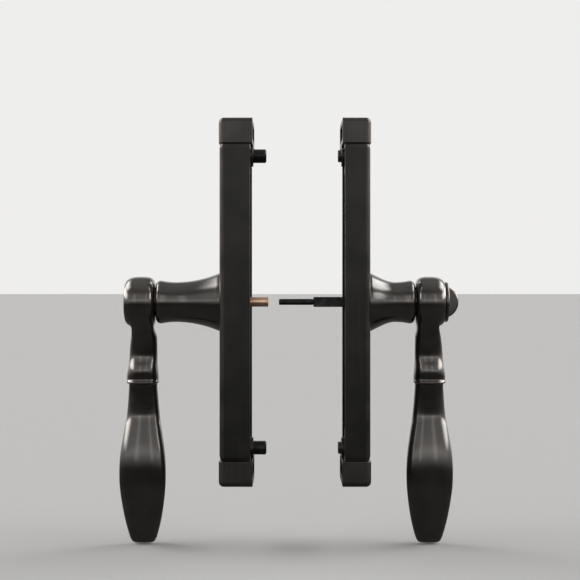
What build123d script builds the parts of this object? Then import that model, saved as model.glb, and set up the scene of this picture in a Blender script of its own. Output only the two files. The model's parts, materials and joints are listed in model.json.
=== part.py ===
from build123d import *
from math import asin, atan2, cos, degrees, radians, sin
import os

# Lever latch set for a storm or screen door: an exterior and an interior half that clamp the door between them.
# Each half is drawn in its own terms, with u, the distance outwards from the face of the door, along +X.
# The interior half is then moved across the door along +X, and the exterior half is mirrored to point along -X.
# The origin is on the spindle's axis, where it meets the exterior face of the door. +Z is up.

# Door and fixings
door_gap = 45.0            # from the backs of the exterior caps to the backs of the interior caps
fixing_spacing = 149.2     # from the upper fixing to the lower one
fixing_inset = 4.9         # from a fixing to the end of the channel
post_radius = 3.5
post_reach = 6.65          # how far a post stands out of the exterior half
post_seat = 9.0            # how deep it is pressed into its boss
post_edge = 0.6            # bevel on the post's tip
post_thread_radius = 1.7
post_thread_depth = 12.0
screw_way_radius = 2.3     # way for the fixing screws through the interior half
spigot_radius = 3.1        # short pilots on the back of the interior half
spigot_reach = 1.7

# Escutcheon channel and its end caps
exterior_depth = 16.5      # from the door to the front face
interior_depth = 13.95
plate_width = 36.0
cap_length = 12.75         # how far a cap reaches past the end of the channel
edge_radius = 2.6          # front edges and ends
front_wall = 2.2
side_wall = 2.0
channel_relief = 1.2       # the channel's back edges stop short of the door, and the caps reach it
bevel_length = 2.6         # bevel at each end of the channel
bevel_depth = 0.8
inner_radius = 1.0         # inside corners of the channel
cap_step = 0.35            # how far a cap stands proud of the channel
cap_wall = 2.6
tongue_length = 15.0       # part of a cap inside the channel
tongue_thickness = 2.6
tongue_gap = 0.2
boss_radius = 5.4
rib_thickness = 2.0

# Collar, which carries the lever's bushing
exterior_collar_reach = 49.6   # from the door to the groove at the hub
interior_collar_reach = 37.4
neck_radius = 10.3
neck_length = 8.0
base_radius = 14.9
base_rim = 0.9             # upright edge of the flared base
flare_slope = 0.42
lip_radius = 11.0          # rounded lip at the hub's groove
lip_width = 2.6
spigot_wall_gap = 0.1
collar_spigot_radius = 9.2
collar_spigot_reach = 1.0  # past the channel's front wall, inside
collar_screw_radius = 1.25
collar_screw_length = 6.0
collar_screw_circle = 11.4
screw_head_radius = 2.0
screw_head_height = 2.0
screw_slot_width = 0.7
screw_slot_depth = 0.8
screw_hole_gap = 0.1

# Bushing, washers and ring on the lever's shank
shank_radius = 6.5
running_gap = 0.04
seat_gap = 0.05
bushing_wall = 1.2
bushing_flange_radius = 9.0
bushing_flange = 1.0
bushing_recess = 1.2       # how far the sleeve stops short of the collar's end
washer_space = 0.7
washer_thickness = 0.4
washer_radius = 8.7
washer_bow = 0.25
stop_thickness = 1.5
stop_radius = 9.0
stop_lug_width = 3.2
stop_lug_outer = 13.0
stop_lug_inner = 9.7
stop_lug_reach = 2.2       # how far the lug is bent forwards, to the screw heads
stop_margin = 0.25         # left between lug and screw head at the end of the travel
lever_travel = 90.0
flat_distance = 5.5        # from the shank's axis to its two flats
ring_thickness = 1.1
ring_slot = 1.2
ring_groove_radius = 5.55
ring_outer_radius = 8.3
ring_opening = 5.0
ring_ear_radius = 1.5
ring_ear_hole = 0.65
shank_tail = 1.4

# Lever: hub
hub_gap = 0.4
exterior_hub_length = 15.45
interior_hub_length = 15.0
exterior_arm_offset = -0.95    # the exterior arm sits this much nearer the plate than the hub's middle
interior_arm_offset = 0.0
hub_radius = 13.0
hub_end_radius = 12.7      # the barrel is a little crowned
hub_inner_round = 1.9
hub_outer_round = 3.0

# Lever: arm with its bead, and the paddle, as stations down from the spindle's axis.
# Each station is (drop, width along X, thickness along Y, offset along Y, offset along X towards the hub's end).
arm_stations = [
    (4.0, 11.0, 14.0, 0.0, -0.9),
    (9.5, 11.4, 16.0, 0.0, -0.9),
    (13.5, 13.2, 14.0, 0.2, -0.9),
    (16.5, 12.8, 12.0, 0.4, -0.9),
    (21.5, 12.3, 10.6, 0.9, -0.9),
    (26.5, 12.9, 11.6, 1.5, -0.6),
    (31.0, 14.7, 13.8, 2.1, -0.2),
    (35.5, 15.8, 14.9, 2.7, 0.0),
    (38.4, 15.9, 15.0, 3.1, 0.0),
    (39.7, 15.2, 14.4, 3.3, 0.0),
]
paddle_stations = [
    (36.0, 13.2, 9.4, 2.7, 0.0),
    (42.5, 13.6, 9.0, 3.6, 0.0),
    (51.0, 14.9, 9.3, 3.7, 0.0),
    (60.0, 17.2, 10.3, 2.7, 0.0),
    (71.0, 21.0, 11.0, 1.2, 0.0),
    (82.0, 23.4, 10.8, 0.4, 0.0),
    (93.0, 23.5, 10.0, 1.1, 0.0),
    (104.0, 21.2, 9.0, 2.6, 0.0),
    (114.0, 17.6, 7.9, 4.0, 0.0),
    (120.5, 14.2, 6.8, 4.7, 0.0),
    (123.2, 11.6, 5.0, 4.9, 0.0),
    (124.0, 9.0, 2.8, 5.0, 0.0),
]
section_fullness = 2.35    # 2 is an ellipse, more is squarer
section_points = 12

# Key cylinder and drive sleeve of the exterior half
housing_radius = 8.4
housing_recess = 0.2
hub_floor = 1.25           # left in the hub behind the housing
plug_radius = 5.5
plug_face_radius = 6.4
plug_face = 1.2
plug_room = 1.0            # behind the sleeve's head
keyway_width = 1.9
keyway_height = 7.6
keyway_floor = 1.4         # left in the plug behind the keyway
wafer_count = 4
wafer_thickness = 0.8
wafer_slot = 0.9
wafer_width = 5.0
wafer_height = 9.5
wafer_window_width = 2.1
wafer_window_height = 5.6
first_wafer = 3.0          # from the plug's face
last_wafer = 2.3           # from the plug's back
sleeve_radius = 2.45
sleeve_bore = 1.65
sleeve_bore_depth = 22.0
sleeve_reach = 7.65        # how far the sleeve stands out of the exterior half
sleeve_head_radius = 5.0
sleeve_head = 1.4
sleeve_way = 2.75          # way for the sleeve through the exterior shank
end_play = 0.3

# Spindle, lock rod and thumb-turn of the interior half
spindle_side = 5.1
spindle_edge = 0.4
spindle_reach = 14.3       # how far the square stands out of the interior half
spindle_socket_gap = 0.05
spindle_end = 30.0         # its inner end, from the door
pin_radius = 0.8
pin_height = 2.3           # the pin crosses above the axis and keys the spindle
pin_length = 11.0
pin_place = 20.0
rod_radius = 1.55
rod_core_radius = 1.3      # turned down inside the spindle
rod_core_gap = 0.1
rod_reach = 31.9           # how far the rod stands out of the interior half
rod_tip = 0.4
rod_flat = 0.8             # from the axis to the flat that the thumb-turn drives
rod_flat_length = 6.0
turn_base_radius = 10.3
turn_base = 1.4
turn_gap = 0.1
turn_edge = 0.6
turn_stub_radius = 3.0
turn_stub_length = 9.0
turn_pin_radius = 0.6
fin_radius = 8.4
fin_reach = 5.6
fin_thickness = 3.4
fin_edge = 0.6

# Places that follow from the sizes
half_width = plate_width / 2
fixing_height = fixing_spacing / 2
channel_half = fixing_height + fixing_inset
plate_half = channel_half + cap_length
bushing_radius = shank_radius + running_gap + bushing_wall
exterior_hub_reach = exterior_collar_reach + hub_gap + exterior_hub_length
interior_hub_reach = interior_collar_reach + hub_gap + interior_hub_length
housing_length = exterior_hub_length - housing_recess - hub_floor
plug_length = housing_length - sleeve_head - plug_room
keyway_depth = plug_length - keyway_floor
wafer_pitch = (plug_length - first_wafer - last_wafer) / (wafer_count - 1)


def wall_inside(depth):
    return depth - front_wall


def bushing_back(depth):
    return wall_inside(depth) - collar_spigot_reach - bushing_flange


def stop_front(depth):
    return bushing_back(depth) - washer_space


def ring_front(depth):
    return stop_front(depth) - stop_thickness


def shank_end(depth):
    return ring_front(depth) - ring_slot - shank_tail


# Plain solids
def rod_x(low, high, radius, y=0.0, z=0.0):
    """A round bar along X."""
    bar = Cylinder(radius, high - low, align=(Align.CENTER, Align.CENTER, Align.MIN))
    return Pos(low, y, z) * Rot(0, 90, 0) * bar


def rod_y(half_length, radius, x, z):
    """A round bar along Y, centred on the XZ plane."""
    return Pos(x, 0, z) * Rot(90, 0, 0) * Cylinder(radius, 2 * half_length)


def block(x_low, x_high, width, z_low, z_high):
    """A block that is centred on the XZ plane."""
    middle = Pos((x_low + x_high) / 2, 0, (z_low + z_high) / 2)
    return middle * Box(x_high - x_low, width, z_high - z_low)


def turned(*edges):
    """A solid of revolution about X, from the edges of its outline above the axis."""
    return revolve(make_face(edges), Axis.X, 360)


# Escutcheon
def outline(back, front, half, corner):
    """The plate's cross-section, square at the back and rounded at the front."""
    section = Pos((back + front) / 2, 0) * Rectangle(front - back, 2 * half)
    return fillet(section.vertices().sort_by(Axis.X)[-2:], corner)


def lever_screw_places():
    """Where the collar's two screws are, so that the stop lug meets their heads at the end of the lever's travel."""
    reach = stop_lug_width / 2 + screw_head_radius + stop_margin
    past = degrees(asin(reach / collar_screw_circle))
    from_down = radians(lever_travel + past)
    y = collar_screw_circle * sin(from_down)
    z = -collar_screw_circle * cos(from_down)
    return [(-y, z), (y, z)]


def channel(depth):
    """The long body: an open-backed channel whose ends are bevelled on the outside."""
    inset = bevel_depth
    full = outline(channel_relief, depth, half_width, edge_radius)
    small = outline(channel_relief, depth - inset, half_width - inset, edge_radius - inset)
    straight = channel_half - bevel_length
    body = Pos(0, 0, -straight) * extrude(full, 2 * straight)
    end = loft([Pos(0, 0, straight) * full, Pos(0, 0, channel_half) * small], ruled=True)
    body = body + end + mirror(end, Plane.XY)
    hollow = outline(channel_relief, wall_inside(depth), half_width - side_wall, inner_radius)
    body -= Pos(0, 0, -channel_half) * extrude(hollow, 2 * channel_half)
    body -= rod_x(0, depth + 1, collar_spigot_radius + spigot_wall_gap)
    for y, z in lever_screw_places():
        body -= rod_x(0, depth + 1, collar_screw_radius + screw_hole_gap, y, z)
    return body


def cap(depth):
    """The upper end cap: a rounded end, and a tongue inside the channel with the boss of a fixing."""
    front = depth + cap_step
    section = outline(0, front, half_width + cap_step, edge_radius + cap_step)
    shell = Pos(0, 0, channel_half) * extrude(section, plate_half - channel_half)
    rim = shell.faces().sort_by(Axis.Z)[-1].edges().filter_by_position(Axis.X, 0.01, front + 1)
    shell = fillet(rim, edge_radius)
    pocket_half = half_width + cap_step - cap_wall
    shell -= block(-1, front - cap_wall, 2 * pocket_half, channel_half + cap_wall, plate_half - cap_wall)
    inside = wall_inside(depth)
    tongue_half = half_width - side_wall - tongue_gap
    low = channel_half - tongue_length
    tongue = block(inside - tongue_thickness, inside, 2 * tongue_half, low, channel_half)
    tongue = fillet(tongue.edges().filter_by(Axis.Z).sort_by(Axis.X)[-2:], inner_radius)
    boss = rod_x(0, inside, boss_radius, 0, fixing_height)
    rib = block(channel_relief, inside, rib_thickness, low, channel_half)
    web_width = 2 * (tongue_half - inner_radius)
    web = block(channel_relief, inside, web_width, channel_half - rib_thickness, channel_half)
    return shell + tongue + boss + rib + web


def post():
    """A tapped post, pressed into the exterior boss."""
    body = rod_x(-post_reach, post_seat, post_radius, 0, fixing_height)
    body = chamfer(body.edges().sort_by(Axis.X)[0], post_edge)
    return body - rod_x(-post_reach, post_thread_depth - post_reach, post_thread_radius, 0, fixing_height)


def pair(upper):
    """The same casting at the top and, turned over, at the bottom."""
    return upper, Rot(180, 0, 0) * upper


# Collar
def collar(depth, reach):
    neck_start = reach - lip_width - neck_length
    base_start = depth + base_rim
    lip_start = reach - lip_width
    groove = lip_radius - lip_width / 2
    body = turned(
        Polyline((lip_start, neck_radius), (neck_start, neck_radius)),
        Spline(
            (neck_start, neck_radius),
            (base_start, base_radius),
            tangents=[(-1, 0), (-1, flare_slope)],
        ),
        Polyline((base_start, base_radius), (depth, base_radius), (depth, 0), (reach, 0), (reach, groove)),
        ThreePointArc(
            (reach, groove),
            (reach - lip_width * 0.25, lip_radius - lip_width * 0.08),
            (reach - lip_width * 0.55, lip_radius),
        ),
        Spline(
            (reach - lip_width * 0.55, lip_radius),
            (lip_start, neck_radius),
            tangents=[(-1, 0), (-1, 0)],
        ),
    )
    body += rod_x(wall_inside(depth) - collar_spigot_reach, depth, collar_spigot_radius)
    body -= rod_x(0, reach + 1, bushing_radius + seat_gap)
    tip = wall_inside(depth) + collar_screw_length
    for y, z in lever_screw_places():
        body -= rod_x(wall_inside(depth), tip, collar_screw_radius, y, z)
    return body


def collar_screw(depth, y, z):
    seat = wall_inside(depth)
    head = rod_x(seat - screw_head_height, seat, screw_head_radius, y, z)
    low = seat - screw_head_height
    slot = Pos(low + screw_slot_depth / 2, y, z) * Box(screw_slot_depth, 3 * screw_head_radius, screw_slot_width)
    return head - slot + rod_x(seat, seat + collar_screw_length, collar_screw_radius, y, z)


def collar_screws(depth):
    return [collar_screw(depth, y, z) for y, z in lever_screw_places()]


def bushing(depth, reach):
    back = bushing_back(depth)
    sleeve = rod_x(back, reach - bushing_recess, bushing_radius)
    flange = rod_x(back, back + bushing_flange, bushing_flange_radius)
    return sleeve + flange - rod_x(back, reach, shank_radius + running_gap)


def spring_washer(depth):
    """A ring that is bowed about Z, so that it takes up the end play."""
    front = bushing_back(depth)
    bow_radius = washer_radius**2 / (2 * washer_bow)
    ring = rod_x(front - washer_space, front, washer_radius)
    ring -= rod_x(front - washer_space, front, shank_radius + 4 * seat_gap)
    centre = front - bow_radius
    outer = Pos(centre, 0, 0) * Cylinder(bow_radius, 3 * washer_radius)
    inner = Pos(centre, 0, 0) * Cylinder(bow_radius - washer_thickness, 3 * washer_radius)
    return ring & (outer - inner)


def stop_washer(depth):
    """Keyed on the shank's flats. Its lug is bent forwards, between the heads of the collar's screws."""
    front = stop_front(depth)
    back = front - stop_thickness
    disc = rod_x(back, front, stop_radius)
    disc += block(back, front, stop_lug_width, -stop_lug_outer, 0)
    disc += block(back, front + stop_lug_reach, stop_lug_width, -stop_lug_outer, -stop_lug_inner)
    hole = rod_x(back, front, shank_radius + seat_gap)
    hole &= block(back, front, 2 * (flat_distance + seat_gap), -stop_radius, stop_radius)
    return disc - hole


def retaining_ring(depth):
    """An open snap ring with two drilled ears."""
    front = ring_front(depth)
    back = front - ring_thickness
    ring = rod_x(back, front, ring_outer_radius)
    ear_y = ring_opening / 2 + ring_ear_radius
    ear_z = ring_outer_radius - ring_ear_radius / 2
    for side in (-1, 1):
        ring += rod_x(back, front, ring_ear_radius, side * ear_y, ear_z)
    ring -= rod_x(back, front, ring_groove_radius)
    ring -= block(back, front, ring_opening, 0, 2 * ring_outer_radius)
    for side in (-1, 1):
        ring -= rod_x(back, front, ring_ear_hole, side * ear_y, ear_z)
    return ring


# Lever
def section(station, slope):
    """A squarish oval across the lever, turned to face along it."""
    drop, width, thickness, y_offset, x_offset = station
    power = 2 / section_fullness
    points = []
    for step in range(section_points):
        turn = radians(360 * step / section_points)
        c, s = cos(turn), sin(turn)
        x = width / 2 * abs(c) ** power * (1 if c > 0 else -1)
        y = thickness / 2 * abs(s) ** power * (1 if s > 0 else -1)
        points.append((x, y))
    plane = Plane(origin=(x_offset, y_offset, -drop), x_dir=(1, 0, 0), z_dir=(0, sin(slope), -cos(slope)))
    return plane * make_face(Spline(*points, periodic=True))


def lofted(stations):
    """One smooth solid through the stations, with each section square to the lever's own line."""
    sections = []
    for place, station in enumerate(stations):
        before = stations[max(place - 1, 0)]
        after = stations[min(place + 1, len(stations) - 1)]
        slope = atan2(after[3] - before[3], after[0] - before[0])
        sections.append(section(station, slope))
    return loft(sections)


def hub(start, reach):
    """A crowned barrel, rounded at both ends."""
    inner = start + hub_inner_round
    outer = reach - hub_outer_round
    k = 1 - cos(radians(45))
    return turned(
        Polyline((reach, hub_end_radius - hub_outer_round), (reach, 0), (start, 0)),
        Line((start, 0), (start, hub_end_radius - hub_inner_round)),
        ThreePointArc(
            (start, hub_end_radius - hub_inner_round),
            (start + k * hub_inner_round, hub_end_radius - k * hub_inner_round),
            (inner, hub_end_radius),
        ),
        ThreePointArc((inner, hub_end_radius), ((inner + outer) / 2, hub_radius), (outer, hub_end_radius)),
        ThreePointArc(
            (outer, hub_end_radius),
            (reach - k * hub_outer_round, hub_end_radius - k * hub_outer_round),
            (reach, hub_end_radius - hub_outer_round),
        ),
    )


def shank(depth, start):
    """The round shank behind the hub, with its ring groove and two flats."""
    low = shank_end(depth)
    body = rod_x(low, start, shank_radius)
    groove_high = ring_front(depth)
    groove = rod_x(groove_high - ring_slot, groove_high, shank_radius + 1)
    groove -= rod_x(groove_high - ring_slot, groove_high, ring_groove_radius)
    body -= groove
    flats_high = stop_front(depth)
    for side in (-1, 1):
        flat = Box(flats_high - low, shank_radius, 3 * shank_radius)
        body -= Pos((low + flats_high) / 2, side * (flat_distance + shank_radius / 2), 0) * flat
    return body


def lever(depth, hub_length, hub_reach, arm_offset):
    """Hub, arm, bead, paddle and shank, cast in one."""
    start = hub_reach - hub_length
    middle = Pos(start + hub_length / 2 + arm_offset, 0, 0)
    body = hub(start, hub_reach) + middle * lofted(arm_stations) + middle * lofted(paddle_stations)
    return body + shank(depth, start)


def exterior_lever():
    body = lever(exterior_depth, exterior_hub_length, exterior_hub_reach, exterior_arm_offset)
    floor = exterior_hub_reach - housing_recess - housing_length
    body -= rod_x(floor, exterior_hub_reach + 1, housing_radius + seat_gap)
    return body - rod_x(0, floor, sleeve_way)


def interior_lever():
    body = lever(interior_depth, interior_hub_length, interior_hub_reach, interior_arm_offset)
    side = spindle_side + 2 * spindle_socket_gap
    socket_end = spindle_end + spindle_socket_gap
    body -= block(0, socket_end, side, -side / 2, side / 2)
    body -= rod_x(socket_end, interior_hub_reach, rod_core_radius + rod_core_gap)
    stub_floor = interior_hub_reach - turn_stub_length - end_play
    body -= rod_x(stub_floor, interior_hub_reach + 1, turn_stub_radius + running_gap)
    return body - rod_y(shank_radius, pin_radius, pin_place, pin_height)


# Key cylinder
def cylinder_front():
    return exterior_hub_reach - housing_recess


def cylinder_housing():
    front = cylinder_front()
    body = rod_x(front - housing_length, front, housing_radius)
    body -= rod_x(front - housing_length, front, plug_radius + running_gap)
    return body - rod_x(front - plug_face - end_play, front, plug_face_radius + running_gap)


def wafer_place(index):
    return cylinder_front() - first_wafer - index * wafer_pitch


def cylinder_plug():
    front = cylinder_front()
    body = rod_x(front - plug_length, front, plug_radius) + rod_x(front - plug_face, front, plug_face_radius)
    body -= block(front - keyway_depth, front, keyway_width, -keyway_height / 2, keyway_height / 2)
    for index in range(wafer_count):
        x = wafer_place(index)
        body -= block(x - wafer_slot / 2, x + wafer_slot / 2, wafer_width, -2 * plug_radius, 2 * plug_radius)
    return body


def cylinder_wafers():
    """Thin plates across the plug. Their windows are in line with the keyway."""
    wafers = []
    for index in range(wafer_count):
        x = wafer_place(index)
        low, high = x - wafer_thickness / 2, x + wafer_thickness / 2
        plate = block(low, high, wafer_width, -wafer_height / 2, wafer_height / 2)
        window = block(low, high, wafer_window_width, -wafer_window_height / 2, wafer_window_height / 2)
        wafers.append(plate - window)
    return wafers


def drive_sleeve():
    """Carries the key's turn through the shank. The lock rod enters its bore when the halves are on a door."""
    back = cylinder_front() - plug_length
    body = rod_x(-sleeve_reach, back, sleeve_radius) + rod_x(back - sleeve_head, back, sleeve_head_radius)
    return body - rod_x(-sleeve_reach, sleeve_bore_depth - sleeve_reach, sleeve_bore)


# Spindle, lock rod and thumb-turn
def spindle():
    half = spindle_side / 2
    body = block(-spindle_reach, spindle_end, spindle_side, -half, half)
    body = chamfer(body.edges().group_by(Axis.X)[0], spindle_edge)
    body -= rod_x(-spindle_reach, spindle_end, rod_core_radius + rod_core_gap)
    return body - rod_y(shank_radius, pin_radius, pin_place, pin_height)


def spindle_pin():
    return rod_y(pin_length / 2, pin_radius, pin_place, pin_height)


def rod_end():
    return interior_hub_reach - end_play - turn_edge


def lock_rod():
    shoulder = -spindle_reach - end_play
    tip = rod_x(-rod_reach, shoulder, rod_radius)
    tip = chamfer(tip.edges().group_by(Axis.X)[0], rod_tip)
    body = tip + rod_x(shoulder, rod_end(), rod_core_radius)
    low = rod_end() - rod_flat_length
    body -= block(low, rod_end(), 3 * rod_radius, rod_flat, 2 * rod_radius)
    return body - thumb_turn_pin()


def turn_pin_place():
    return interior_hub_reach - turn_stub_length / 2


def thumb_turn():
    """A round base with a half-round fin to grip, and a stub that drives the rod's flat."""
    low = interior_hub_reach + turn_gap
    high = low + turn_base
    base = rod_x(low, high, turn_base_radius)
    base = fillet(base.edges().sort_by(Axis.X)[-1], turn_edge)
    centre = high + fin_reach - fin_radius
    fin = rod_y(fin_thickness / 2, fin_radius, centre, 0)
    fin = fillet(fin.edges(), fin_edge)
    fin &= block(high - turn_edge, high + 2 * fin_radius, 2 * fin_thickness, -2 * fin_radius, 2 * fin_radius)
    stub = rod_x(interior_hub_reach - turn_stub_length, low, turn_stub_radius)
    socket = rod_x(interior_hub_reach - turn_stub_length, rod_end(), rod_core_radius)
    key = block(rod_end() - rod_flat_length, rod_end(), 3 * rod_radius, rod_flat, 2 * rod_radius)
    return base + fin + stub - (socket - key) - thumb_turn_pin()


def thumb_turn_pin():
    """Fixes the rod in the stub, so that rod and thumb-turn can't come apart."""
    return rod_y(turn_stub_radius - seat_gap, turn_pin_radius, turn_pin_place(), 0)


# Both halves in place
def to_exterior(shape):
    return mirror(shape, Plane.YZ)


def to_interior(shape):
    return Pos(door_gap, 0, 0) * shape


def half_nodes(side, place, depth, collar_reach):
    """What the two halves have alike."""
    made = {}
    plate = channel(depth)
    upper = cap(depth)
    if side == "exterior":
        upper -= rod_x(-1, post_seat, post_radius, 0, fixing_height)
    else:
        way = rod_x(-spigot_reach, depth + 1, screw_way_radius, 0, fixing_height)
        plate = plate - way - mirror(way, Plane.XY)
        upper = upper + rod_x(-spigot_reach, 0, spigot_radius, 0, fixing_height) - way
    made["plate"] = [plate]
    caps = pair(upper)
    made["upper_cap"] = [caps[0]]
    made["lower_cap"] = [caps[1]]
    made["collar"] = [collar(depth, collar_reach)]
    made["collar_screws"] = collar_screws(depth)
    made["bushing"] = [bushing(depth, collar_reach)]
    made["spring_washer"] = [spring_washer(depth)]
    made["stop_washer"] = [stop_washer(depth)]
    made["retaining_ring"] = [retaining_ring(depth)]
    return {f"{side}_{name}": [place(shape) for shape in shapes] for name, shapes in made.items()}


def all_nodes():
    nodes = half_nodes("exterior", to_exterior, exterior_depth, exterior_collar_reach)
    nodes["exterior_posts"] = [to_exterior(shape) for shape in pair(post())]
    nodes["exterior_lever"] = [to_exterior(exterior_lever())]
    nodes["cylinder_housing"] = [to_exterior(cylinder_housing())]
    nodes["cylinder_plug"] = [to_exterior(cylinder_plug())]
    nodes["cylinder_wafers"] = [to_exterior(shape) for shape in cylinder_wafers()]
    nodes["drive_sleeve"] = [to_exterior(drive_sleeve())]
    nodes.update(half_nodes("interior", to_interior, interior_depth, interior_collar_reach))
    nodes["interior_lever"] = [to_interior(interior_lever())]
    nodes["spindle"] = [to_interior(spindle())]
    nodes["spindle_pin"] = [to_interior(spindle_pin())]
    nodes["lock_rod"] = [to_interior(lock_rod())]
    nodes["thumb_turn"] = [to_interior(thumb_turn())]
    nodes["thumb_turn_pin"] = [to_interior(thumb_turn_pin())]
    return nodes


os.makedirs("parts", exist_ok=True)
for name, shapes in all_nodes().items():
    solids = [solid for shape in shapes for solid in shape.solids()]
    whole = solids[0] if len(solids) == 1 else Compound(children=solids)
    export_step(whole, f"parts/{name}.step")
    print(name, len(solids), round(sum(solid.volume for solid in solids), 1))
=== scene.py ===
from math import asin, atan2, copysign, cos, pi, radians, sin
import json
import bmesh
import bpy
import numpy as np
from mathutils import Matrix, Vector

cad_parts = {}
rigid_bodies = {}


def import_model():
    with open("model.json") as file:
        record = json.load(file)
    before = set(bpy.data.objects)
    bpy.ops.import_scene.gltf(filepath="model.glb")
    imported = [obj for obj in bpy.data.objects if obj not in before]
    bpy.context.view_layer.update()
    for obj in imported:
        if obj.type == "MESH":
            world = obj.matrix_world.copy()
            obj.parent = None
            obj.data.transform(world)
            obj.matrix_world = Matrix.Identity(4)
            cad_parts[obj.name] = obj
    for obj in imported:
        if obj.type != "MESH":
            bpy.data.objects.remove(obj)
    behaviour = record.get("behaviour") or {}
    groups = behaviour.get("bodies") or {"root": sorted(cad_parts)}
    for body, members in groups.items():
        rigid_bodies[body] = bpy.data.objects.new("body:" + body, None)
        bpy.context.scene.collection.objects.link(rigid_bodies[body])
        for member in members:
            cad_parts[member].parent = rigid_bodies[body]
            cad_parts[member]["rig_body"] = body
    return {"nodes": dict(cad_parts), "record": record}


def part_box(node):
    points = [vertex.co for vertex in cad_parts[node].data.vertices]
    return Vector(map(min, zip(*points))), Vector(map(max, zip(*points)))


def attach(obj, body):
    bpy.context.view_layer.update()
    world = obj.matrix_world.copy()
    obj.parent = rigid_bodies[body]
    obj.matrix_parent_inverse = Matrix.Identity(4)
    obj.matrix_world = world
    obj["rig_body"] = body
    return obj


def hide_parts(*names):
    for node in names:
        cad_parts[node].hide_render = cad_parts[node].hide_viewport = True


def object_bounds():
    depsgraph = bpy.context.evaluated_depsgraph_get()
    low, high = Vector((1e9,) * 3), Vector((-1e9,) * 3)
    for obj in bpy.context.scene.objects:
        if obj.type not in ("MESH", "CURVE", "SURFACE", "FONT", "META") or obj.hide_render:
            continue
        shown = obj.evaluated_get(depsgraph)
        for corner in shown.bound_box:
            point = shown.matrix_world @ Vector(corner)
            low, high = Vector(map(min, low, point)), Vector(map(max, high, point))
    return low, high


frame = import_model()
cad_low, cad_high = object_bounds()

# The two channels
# Each half is built on a long open-backed channel of steel in a satin aged bronze, with rounded front edges
# and bevelled ends. It is pierced for the collar's spigot and screws, the interior one for the fixings too.

# Every piece is drawn in millimetres with u, the distance outwards from the door, along X. A side's matrix
# then puts it on its own face of the door: the exterior half is mirrored, the interior one is moved across.
MM = 0.001
mounts = {mount["name"]: mount for mount in frame["record"]["mounts"]}
SCALE = Matrix.Scale(MM, 4)
SIDES = {
    "exterior": Matrix.Diagonal((-1, 1, 1, 1)) @ SCALE,
    "interior": Matrix.Translation((mounts["interior_seat"]["pos_m"][0], 0, 0)) @ SCALE,
}
SHARP = radians(32)              # edges that turn by more than this look sharp
PAST = 1.0                       # how far a cut reaches past what it cuts
TOUCHING = 0.0005                # points of a turned body that are this near are one
UNWORN = 0.02                    # a face that bends by less than this share keeps its corners unworn


def reach(node, side):
    """How far a node goes outwards from the door, and how near it comes, in millimetres."""
    corners = [SIDES[side].inverted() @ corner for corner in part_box(node)]
    return max(corner.x for corner in corners), min(corner.x for corner in corners)


class Wire:
    """A socket of a finish, so that sums on it read as sums. One without a socket only makes nodes."""

    def __init__(self, tree, socket=None):
        self.tree = tree
        self.socket = socket

    def node(self, kind, settings=(), sockets=(), output=0):
        made = self.tree.nodes.new(kind)
        for name, value in dict(settings).items():
            setattr(made, name, value)
        for name, value in dict(sockets).items():
            if isinstance(value, Wire):
                self.tree.links.new(value.socket, made.inputs[name])
            else:
                made.inputs[name].default_value = value
        return Wire(self.tree, made.outputs[output] if made.outputs else None)

    def maths(self, operation, first, second):
        return self.node("ShaderNodeMath", {"operation": operation}, {0: first, 1: second})

    def __add__(self, other):
        return self.maths("ADD", self, other)

    def __sub__(self, other):
        return self.maths("SUBTRACT", self, other)

    def __rsub__(self, other):
        return self.maths("SUBTRACT", other, self)

    def __mul__(self, other):
        return self.maths("MULTIPLY", self, other)

    __radd__ = __add__
    __rmul__ = __mul__

    def ramp(self, low, high):
        """0 at low and 1 at high, with a soft ramp between."""
        sockets = {0: self, 1: low, 2: high, 3: 0.0, 4: 1.0}
        return self.node("ShaderNodeMapRange", {"interpolation_type": "SMOOTHSTEP"}, sockets)


def speckle(hand, scale, detail=4.0, stretch=(1, 1, 1)):
    """Noise in the object's own metres, with scale in features to the metre."""
    place = hand.node("ShaderNodeTexCoord", output=3)
    drawn = hand.node("ShaderNodeMapping", {}, {0: place, 3: stretch})
    return hand.node("ShaderNodeTexNoise", {}, {"Vector": drawn, "Scale": scale, "Detail": detail})


def tint(hand, share, first, second):
    """A colour between two others."""
    sockets = {0: share, 6: first, 7: second}
    sockets.update({key: (*value, 1) for key, value in sockets.items() if isinstance(value, tuple)})
    return hand.node("ShaderNodeMix", {"data_type": "RGBA"}, sockets, output=2)


def rubbed(hand):
    """How much hands and cloths have rubbed a place, from the mesh."""
    return hand.node("ShaderNodeAttribute", {"attribute_name": "rubbed"}, output=2)


def finish(name, colour, roughness, grain, steady=()):
    """A material. What changes over the surface is wired, and steady numbers stand on the shader itself."""
    made = bpy.data.materials.new(name)
    made.use_nodes = True
    made.node_tree.nodes.clear()
    hand = Wire(made.node_tree)
    height, depth = grain(hand)
    bump = hand.node("ShaderNodeBump", {}, {"Height": height, "Distance": depth, "Strength": 1.0})
    sockets = {"Base Color": colour(hand), "Roughness": roughness(hand), "Normal": bump, **dict(steady)}
    shader = hand.node("ShaderNodeBsdfPrincipled", {}, sockets)
    hand.node("ShaderNodeOutputMaterial", {}, {"Surface": shader})
    return made


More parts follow.
